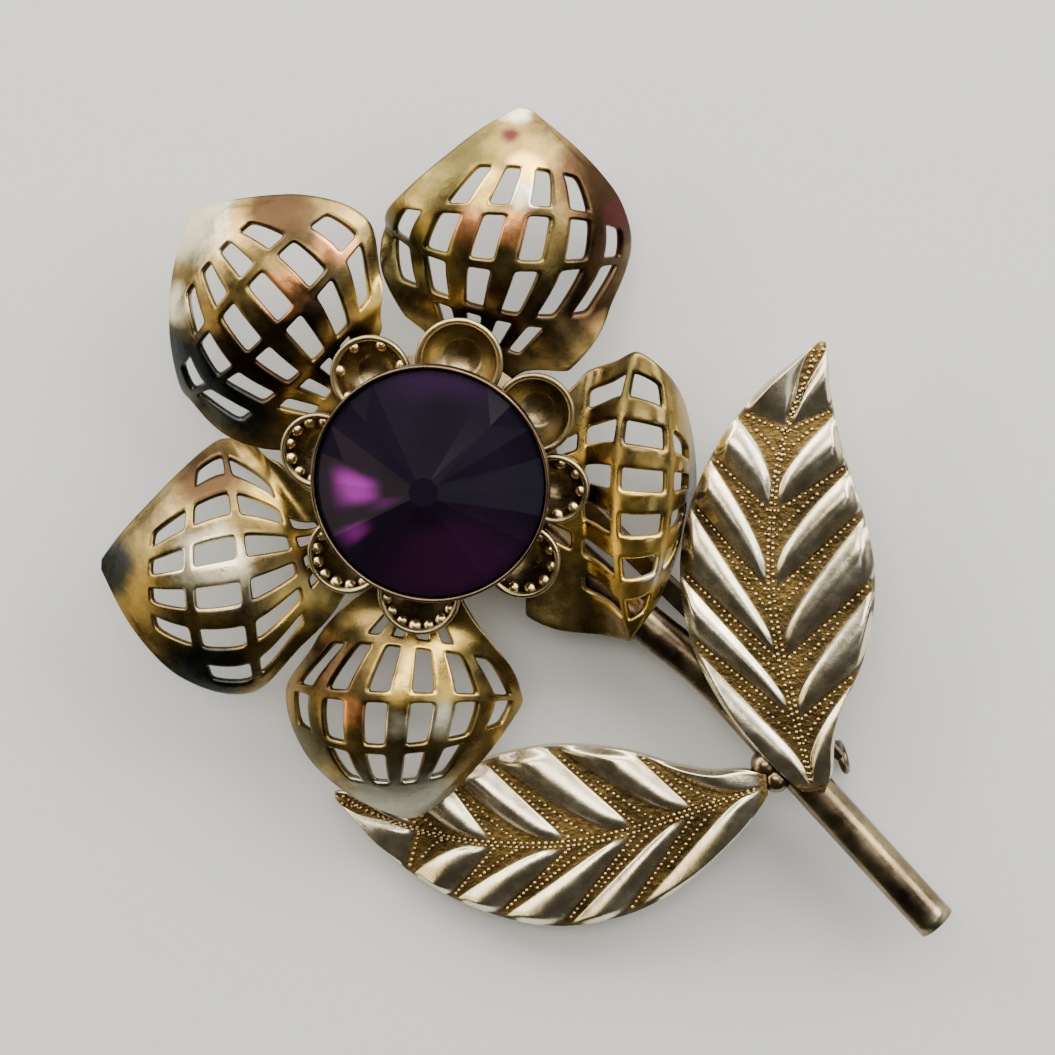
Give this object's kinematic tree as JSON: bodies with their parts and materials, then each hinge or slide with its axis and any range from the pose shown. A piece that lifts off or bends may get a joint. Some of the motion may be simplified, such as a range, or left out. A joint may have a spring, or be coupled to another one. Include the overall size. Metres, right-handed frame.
{
  "type": "flower brooch",
  "caption": "Flower brooch: domed pierced gilt petals round a large purple stone in a ring of small bowls, with a tube stem, ribbed leaves and a pin behind.",
  "frame": {"origin": "on the flower's axis, the stone's axis, at the plane of the cloth or surface behind the brooch", "axes": "+Z along the flower's axis, out of the face; +Y towards the top petal's side of the picture; +X to its right"},
  "size_m": [0.0537, 0.0525, 0.0123],
  "materials": {
    "gilt": "worn gilt plate over brass",
    "purple_glass": "cut glass, foiled behind"
  },
  "bodies": {
    "root": {"stone": "purple_glass", "setting": "gilt", "cup_ring": "gilt", "petal_top": "gilt", "petal_upper_left": "gilt", "petal_left": "gilt", "petal_bottom": "gilt", "petal_right": "gilt", "spray": "gilt", "pin_back": "gilt"}
  },
  "joints": []
}
